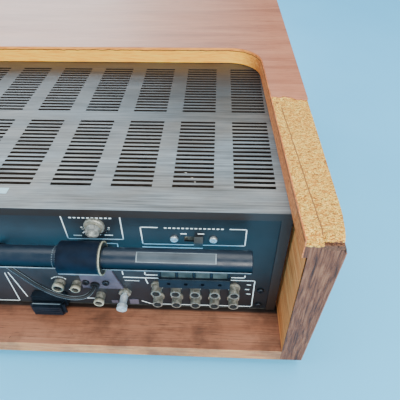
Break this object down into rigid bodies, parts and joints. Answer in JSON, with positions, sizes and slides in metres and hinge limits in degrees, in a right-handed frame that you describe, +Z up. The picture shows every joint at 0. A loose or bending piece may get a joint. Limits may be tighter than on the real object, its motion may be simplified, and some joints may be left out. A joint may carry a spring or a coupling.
{
  "type": "vintage stereo receiver",
  "caption": "Stereo receiver in a walnut sleeve cabinet with a cut-out top, louvred cover, phono jacks, muting control, attenuator switch and a tilting ferrite bar antenna.",
  "frame": {"origin": "middle of the footprint, on the surface the feet stand on", "axes": "+X to the right as seen from the front, +Y from the front panel to the connector panel, +Z up"},
  "size_m": [0.506, 0.46, 0.16],
  "materials": {
    "particle_board": "raw particle board",
    "base_board": "stained board",
    "walnut_veneer": "satin veneer",
    "edge_strip": "stained edge",
    "foot_rubber": "matte",
    "zinc_screw": "zinc plated",
    "plated_steel": "plated",
    "cover_vinyl": "wood-grain vinyl on steel",
    "panel_paint": "satin blue-black",
    "jack_metal": "nickel plated",
    "slider_plastic": "satin",
    "black_plastic": "moulded",
    "lead_rubber": "satin",
    "bracket_paint": "grey-violet lacquer",
    "bar_plastic": "moulded",
    "cream_plastic": "moulded",
    "face_aluminium": "brushed, anodised",
    "knob_aluminium": "turned",
    "dial_glass": "clear acrylic",
    "dial_black": "matte",
    "pointer_paint": "matte",
    "lever_plastic": "satin",
    "core_paint": "lacquered",
    "copper_winding": "enamelled copper",
    "capacitor_sleeve": "shrink sleeve",
    "heatsink_black": "black anodised",
    "board_resin": "phenolic board"
  },
  "bodies": {
    "receiver": {"ac_outlets": "black_plastic", "antenna_bracket": "bracket_paint", "antenna_lead": "lead_rubber", "attenuator_switch": "plated_steel", "cabinet_bottom": "base_board", "cabinet_fasteners": "zinc_screw", "cabinet_side_left": "particle_board", "cabinet_side_right": "particle_board", "cabinet_top": "particle_board", "chassis_pan": "plated_steel", "circuit_boards": "board_resin", "coil_cans": "plated_steel", "control_pots": "plated_steel", "cutout_edge_band": "edge_strip", "dial_glass": "dial_glass", "dial_plate": "dial_black", "feet": "foot_rubber", "filter_capacitors": "capacitor_sleeve", "front_panel": "face_aluminium", "fuse_and_gland": "black_plastic", "gang_frame": "plated_steel", "ground_post": "zinc_screw", "heatsink": "heatsink_black", "lead_grommets": "lead_rubber", "link_socket": "black_plastic", "meter_housing": "cream_plastic", "muting_pot": "jack_metal", "phone_jack": "jack_metal", "phono_jacks": "jack_metal", "pivot_pin": "plated_steel", "rear_panel": "panel_paint", "rear_screws": "zinc_screw", "side_veneers": "walnut_veneer", "speaker_terminals": "black_plastic", "terminal_block": "black_plastic", "top_cover": "cover_vinyl", "top_veneer": "walnut_veneer", "transformer_coil": "copper_winding", "transformer_core": "core_paint"},
    "bar_antenna": {"ferrite_bar": "bar_plastic", "antenna_sleeve": "bar_plastic", "antenna_ring": "cream_plastic"},
    "muting_control": {"muting_shaft": "jack_metal"},
    "attenuator": {"attenuator_slider": "slider_plastic"},
    "ground_thumbscrew": {"ground_screw": "zinc_screw"},
    "tuning": {"tuning_knob": "knob_aluminium", "tuning_flywheel": "plated_steel"},
    "pointer": {"dial_pointer": "pointer_paint"},
    "gang": {"gang_rotor": "plated_steel"},
    "volume": {"volume_knob": "knob_aluminium"},
    "bass": {"bass_knob": "knob_aluminium"},
    "treble": {"treble_knob": "knob_aluminium"},
    "selector": {"selector_knob": "knob_aluminium"},
    "power": {"power_button": "knob_aluminium"},
    "loudness": {"loudness_button": "knob_aluminium"},
    "needle": {"meter_needle": "pointer_paint"},
    "lever_1": {"antenna_lever_1": "lever_plastic"},
    "lever_2": {"antenna_lever_2": "lever_plastic"},
    "lever_3": {"antenna_lever_3": "lever_plastic"},
    "lever_4": {"antenna_lever_4": "lever_plastic"}
  },
  "joints": [
    {"name": "antenna_tilt", "type": "hinge", "parent": "receiver", "child": "bar_antenna", "pos_m": [-0.078, 0.2035, 0.098], "axis": [-1, 0, 0], "range_deg": [0, 90]},
    {"name": "muting_turn", "type": "hinge", "parent": "receiver", "child": "muting_control", "pos_m": [-0.088, 0.1914, 0.1264], "axis": [0, 1, 0], "range_deg": [-140, 140]},
    {"name": "attenuator_slide", "type": "slide", "parent": "receiver", "child": "attenuator", "axis": [1, 0, 0], "range_m": [0, 0.007]},
    {"name": "ground_turn", "type": "hinge", "parent": "receiver", "child": "ground_thumbscrew", "pos_m": [-0.099, 0.1914, 0.045], "axis": [0, 1, 0], "range_deg": [0, 360]},
    {"name": "tuning_turn", "type": "hinge", "parent": "receiver", "child": "tuning", "pos_m": [0.192, -0.206, 0.108], "axis": [0, 1, 0], "range_deg": [-540, 540]},
    {"name": "pointer_slide", "type": "slide", "parent": "receiver", "child": "pointer", "axis": [1, 0, 0], "range_m": [-0.11, 0.11]},
    {"name": "gang_turn", "type": "hinge", "parent": "receiver", "child": "gang", "pos_m": [-0.02, -0.06, 0.06], "axis": [0, 1, 0], "range_deg": [-90, 90]},
    {"name": "volume_turn", "type": "hinge", "parent": "receiver", "child": "volume", "pos_m": [0, -0.206, 0.056], "axis": [0, 1, 0], "range_deg": [-150, 150]},
    {"name": "bass_turn", "type": "hinge", "parent": "receiver", "child": "bass", "pos_m": [-0.12, -0.206, 0.056], "axis": [0, 1, 0], "range_deg": [-150, 150]},
    {"name": "treble_turn", "type": "hinge", "parent": "receiver", "child": "treble", "pos_m": [-0.072, -0.206, 0.056], "axis": [0, 1, 0], "range_deg": [-150, 150]},
    {"name": "selector_turn", "type": "hinge", "parent": "receiver", "child": "selector", "pos_m": [0.12, -0.206, 0.056], "axis": [0, 1, 0], "range_deg": [-60, 60]},
    {"name": "power_press", "type": "slide", "parent": "receiver", "child": "power", "axis": [0, 1, 0], "range_m": [0, 0.003], "stiffness_N_per_m": 300},
    {"name": "loudness_press", "type": "slide", "parent": "receiver", "child": "loudness", "axis": [0, 1, 0], "range_m": [0, 0.003], "stiffness_N_per_m": 300},
    {"name": "needle_swing", "type": "hinge", "parent": "receiver", "child": "needle", "pos_m": [-0.19, -0.201, 0.1], "axis": [0, 1, 0], "range_deg": [0, 80], "stiffness_Nm_per_rad": 0.001},
    {"name": "lever_1_press", "type": "slide", "parent": "receiver", "child": "lever_1", "axis": [0, -1, 0], "range_m": [0, 0.0025], "stiffness_N_per_m": 400},
    {"name": "lever_2_press", "type": "slide", "parent": "receiver", "child": "lever_2", "axis": [0, -1, 0], "range_m": [0, 0.0025], "stiffness_N_per_m": 400},
    {"name": "lever_3_press", "type": "slide", "parent": "receiver", "child": "lever_3", "axis": [0, -1, 0], "range_m": [0, 0.0025], "stiffness_N_per_m": 400},
    {"name": "lever_4_press", "type": "slide", "parent": "receiver", "child": "lever_4", "axis": [0, -1, 0], "range_m": [0, 0.0025], "stiffness_N_per_m": 400}
  ],
  "couplings": [
    {"joint": "pointer_slide", "follows": "tuning_turn", "m_per_rad": 0.01167},
    {"joint": "gang_turn", "follows": "tuning_turn", "ratio": 0.1666}
  ]
}
